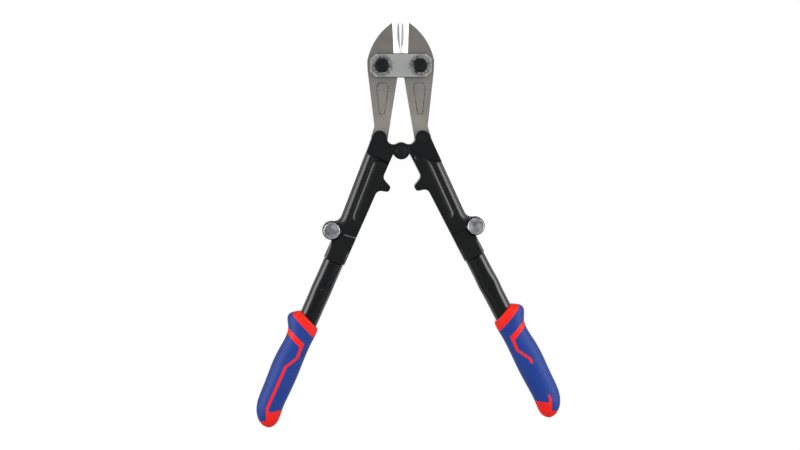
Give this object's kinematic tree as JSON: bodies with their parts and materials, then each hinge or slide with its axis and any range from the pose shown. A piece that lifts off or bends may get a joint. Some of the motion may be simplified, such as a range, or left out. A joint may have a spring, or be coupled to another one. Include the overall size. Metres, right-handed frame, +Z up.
{
  "type": "bolt cutters",
  "caption": "Hand-held bolt cutters with bolted forged jaws, a compound lever linkage, fold-down tube handles and two-colour moulded grips.",
  "frame": {"origin": "on the axis of the centre bolt, at the face of its nut, in the plane that the tool rests on", "axes": "+Y from the centre bolt to the blade tips, +Z up through the tool's thickness, -X to the tool's left handle as seen from above"},
  "size_m": [0.3289, 0.4352, 0.0318],
  "materials": {
    "jaw_steel": "blasted warm grey with ground bright blade bevels",
    "head_plate": "satin grey with bright bevelled edges",
    "zinc_washer": "dull grey, toothed rim",
    "black_fastener": "black oxide",
    "black_casting": "semi-gloss black coat",
    "black_tube": "gloss black coat",
    "bright_pin": "bright plated",
    "red_grip": "soft moulded red",
    "blue_grip": "soft moulded blue"
  },
  "bodies": {
    "head": {"front_plate": "head_plate", "rear_plate": "head_plate", "jaw_bolts": "black_fastener", "toothed_washers": "zinc_washer", "plain_washers": "zinc_washer", "jaw_bolt_nuts": "black_fastener"},
    "jaw_left": {"jaw_left": "jaw_steel"},
    "jaw_right": {"jaw_right": "jaw_steel"},
    "arm_left": {"upper_arm_left": "black_casting", "tail_pin_left": "black_fastener", "tail_pin_clip_left": "black_fastener", "centre_bolt": "black_fastener", "centre_washer": "black_fastener", "centre_nut": "black_fastener", "fold_pin_left": "bright_pin", "fold_toothed_washer_left": "black_fastener", "fold_plain_washer_left": "black_fastener", "fold_nut_left": "black_fastener"},
    "arm_right": {"upper_arm_right": "black_casting", "tail_pin_right": "black_fastener", "tail_pin_clip_right": "black_fastener", "fold_pin_right": "bright_pin", "fold_toothed_washer_right": "black_fastener", "fold_plain_washer_right": "black_fastener", "fold_nut_right": "black_fastener"},
    "handle_left": {"handle_socket_left": "black_casting", "handle_tube_left": "black_tube", "grip_sleeve_left": "red_grip", "grip_cover_left": "blue_grip"},
    "handle_right": {"handle_socket_right": "black_casting", "handle_tube_right": "black_tube", "grip_sleeve_right": "red_grip", "grip_cover_right": "blue_grip"}
  },
  "joints": [
    {"name": "centre_hinge", "type": "hinge", "parent": "arm_left", "child": "arm_right", "pos_m": [0, 0, 0.015], "axis": [0, 0, 1], "range_deg": [-21, 48]},
    {"name": "jaw_left_hinge", "type": "hinge", "parent": "head", "child": "jaw_left", "pos_m": [-0.0205, 0.09128, 0.015], "axis": [0, 0, 1], "range_deg": [-2.1, 4.8]},
    {"name": "jaw_right_hinge", "type": "hinge", "parent": "head", "child": "jaw_right", "pos_m": [0.0205, 0.09128, 0.015], "axis": [0, 0, 1], "range_deg": [-4.8, 2.1]},
    {"name": "tail_left_hinge", "type": "hinge", "parent": "jaw_left", "child": "arm_left", "pos_m": [-0.02319, 0.01383, 0.015], "axis": [0, 0, 1], "range_deg": [-28.8, 12.6]},
    {"name": "fold_left", "type": "hinge", "parent": "arm_left", "child": "handle_left", "pos_m": [-0.07518, -0.08504, 0.015], "axis": [0, 0, -1], "range_deg": [0, 150]},
    {"name": "fold_right", "type": "hinge", "parent": "arm_right", "child": "handle_right", "pos_m": [0.07939, -0.08113, 0.015], "axis": [0, 0, 1], "range_deg": [0, 150]}
  ],
  "couplings": [
    {"joint": "jaw_left_hinge", "follows": "centre_hinge", "ratio": 0.1},
    {"joint": "jaw_right_hinge", "follows": "centre_hinge", "ratio": -0.1},
    {"joint": "tail_left_hinge", "follows": "centre_hinge", "ratio": -0.6}
  ]
}
